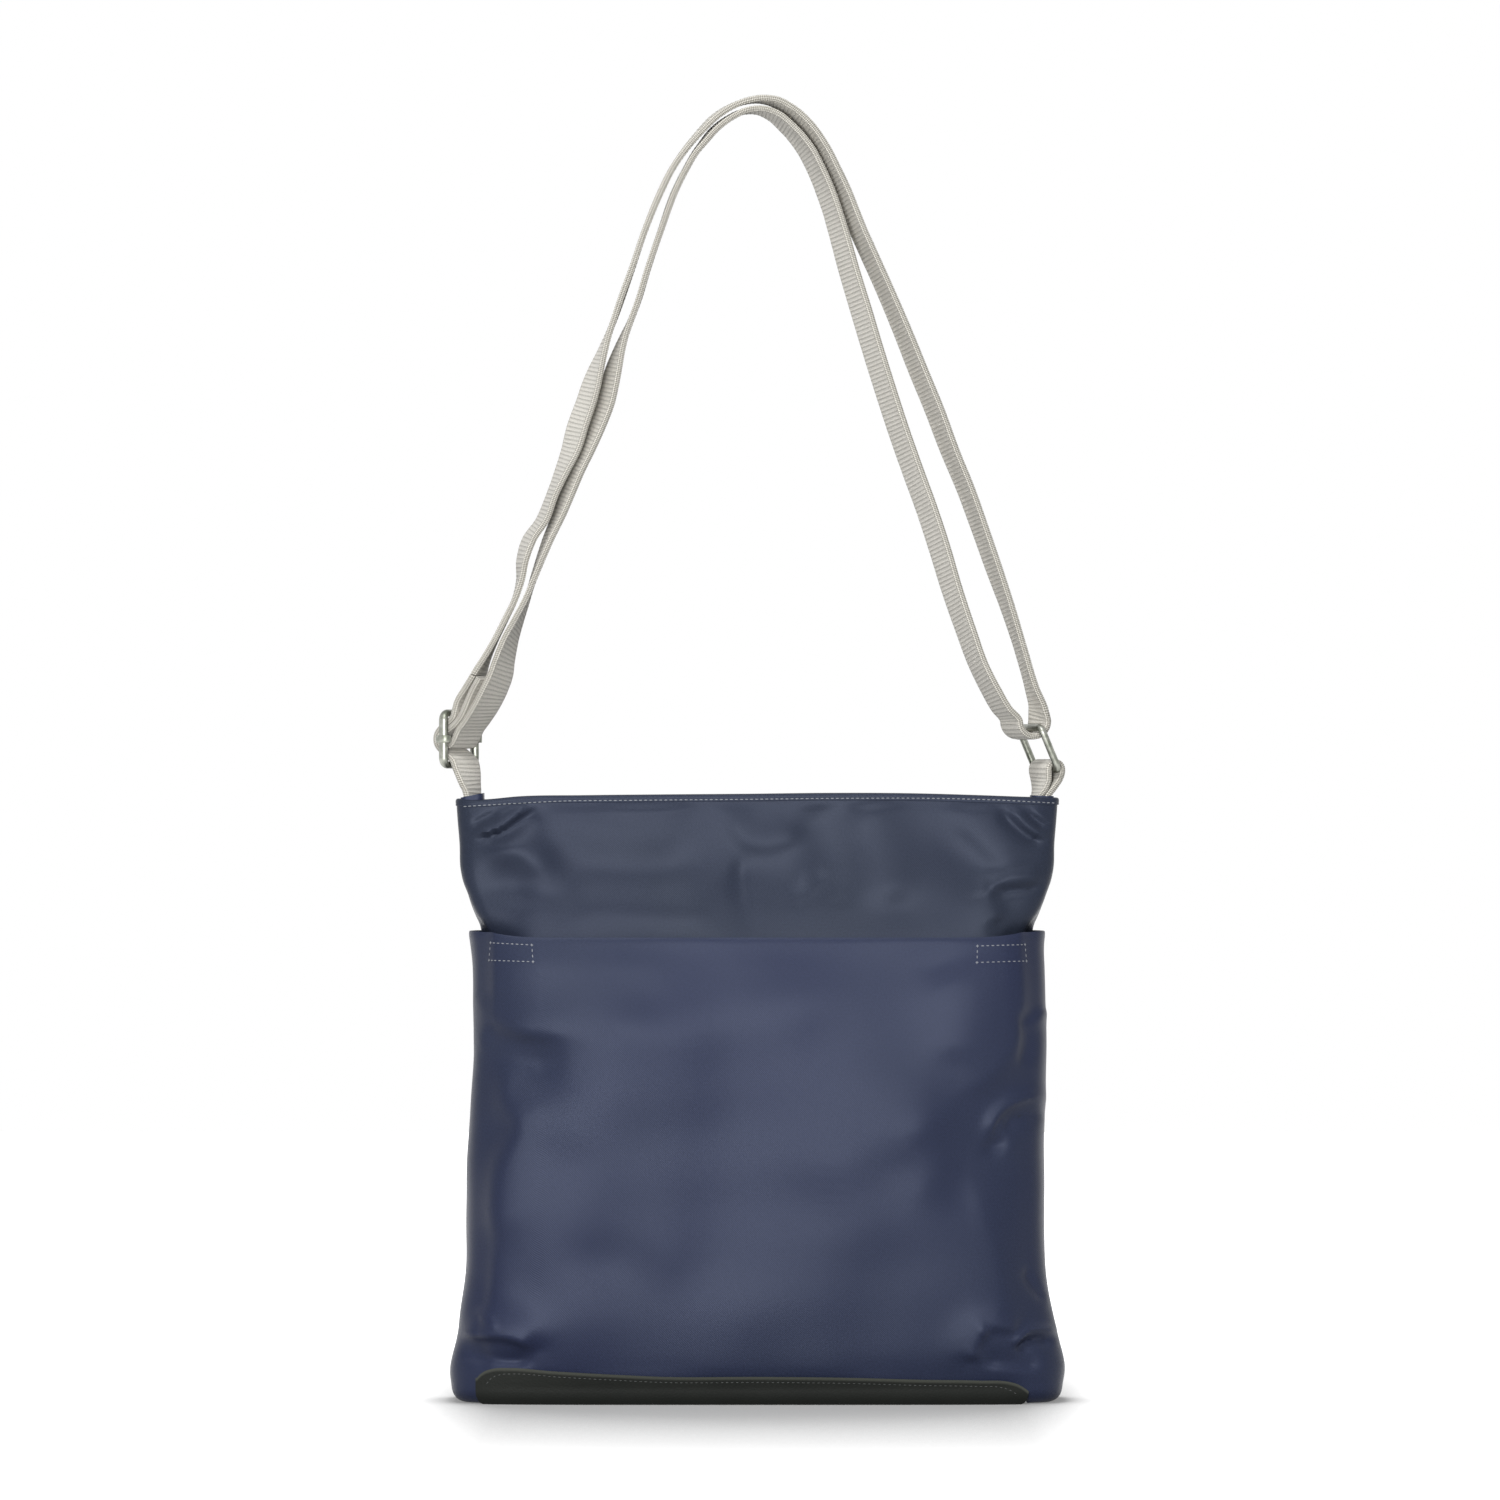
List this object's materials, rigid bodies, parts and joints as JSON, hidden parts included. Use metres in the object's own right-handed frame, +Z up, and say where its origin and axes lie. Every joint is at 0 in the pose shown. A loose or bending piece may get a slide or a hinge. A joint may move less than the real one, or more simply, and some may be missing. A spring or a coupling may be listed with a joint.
{
  "type": "crossbody bag",
  "caption": "Flat zipped nylon crossbody bag with a wrap-round slip pocket, leather base trim and a doubled webbing strap on an adjuster and a wire ring.",
  "frame": {"origin": "on the ground under the middle of the base", "axes": "+X to the right of the front, -Y out of the front pocket, +Z up"},
  "size_m": [0.3162, 0.0852, 0.6518],
  "materials": {
    "shell_nylon": "slate navy nylon twill, slight sheen",
    "pocket_nylon": "navy nylon twill, slight sheen",
    "lining_cloth": "dark plain-woven lining",
    "base_leather": "dark grey-green smooth leather",
    "webbing": "light warm grey ribbed webbing",
    "pewter_metal": "antique pewter-coloured plated wire",
    "zip_tape": "navy woven zip tape",
    "zip_teeth": "navy moulded teeth"
  },
  "bodies": {
    "bag": {"front_panel": "shell_nylon", "back_panel": "shell_nylon", "side_gusset_left": "shell_nylon", "side_gusset_right": "shell_nylon", "bottom_panel": "shell_nylon", "front_hem": "shell_nylon", "back_hem": "shell_nylon", "zip_end_tab_left": "shell_nylon", "zip_end_tab_right": "shell_nylon", "front_pocket": "pocket_nylon", "side_pocket_left": "pocket_nylon", "side_pocket_right": "pocket_nylon", "lining": "lining_cloth", "base_trim": "base_leather", "strap_tail": "webbing", "ring_tab": "webbing", "zip_stop_left": "pewter_metal", "zip_stop_right_front": "pewter_metal", "zip_stop_right_back": "pewter_metal", "zip_tape_front": "zip_tape", "zip_tape_back": "zip_tape", "zip_teeth_front": "zip_teeth", "zip_teeth_back": "zip_teeth"},
    "strap": {"strap_run": "webbing"},
    "adjuster_bar": {"adjuster_bar": "pewter_metal"},
    "adjuster_frame": {"adjuster_frame": "pewter_metal"},
    "ring": {"ring": "pewter_metal"},
    "zip_slider": {"zip_slider": "pewter_metal"},
    "zip_pull": {"zip_pull": "pewter_metal"}
  },
  "joints": [
    {"name": "strap_fold", "type": "hinge", "parent": "bag", "child": "strap", "pos_m": [0, 0, 0.29], "axis": [1, 0, 0], "range_deg": [-85, 85], "deforming": ["strap_tail", "ring_tab"]},
    {"name": "ring_swing", "type": "hinge", "parent": "strap", "child": "ring", "pos_m": [0.13636, -0.00162, 0.33616], "axis": [0.3502, -0.9367, 0], "range_deg": [-15, 15], "deforming": ["ring_tab"]},
    {"name": "adjuster_tilt", "type": "hinge", "parent": "strap", "child": "adjuster_bar", "pos_m": [-0.1491, 0.003, 0.3305], "axis": [-0.4695, -0.8829, 0], "range_deg": [-10, 35], "deforming": ["strap_tail"]},
    {"name": "adjuster_frame_slide", "type": "slide", "parent": "adjuster_bar", "child": "adjuster_frame", "axis": [0, 0, 1], "range_m": [-0.0025, 0.0025], "deforming": ["strap_tail"]},
    {"name": "zip_slide", "type": "slide", "parent": "bag", "child": "zip_slider", "axis": [1, 0, 0], "range_m": [-0.216, 0], "deforming": ["zip_teeth_front", "zip_teeth_back"]},
    {"name": "zip_pull_swing", "type": "hinge", "parent": "zip_slider", "child": "zip_pull", "pos_m": [0.1086, 0, 0.2964], "axis": [0, 1, 0], "range_deg": [0, 120]}
  ]
}
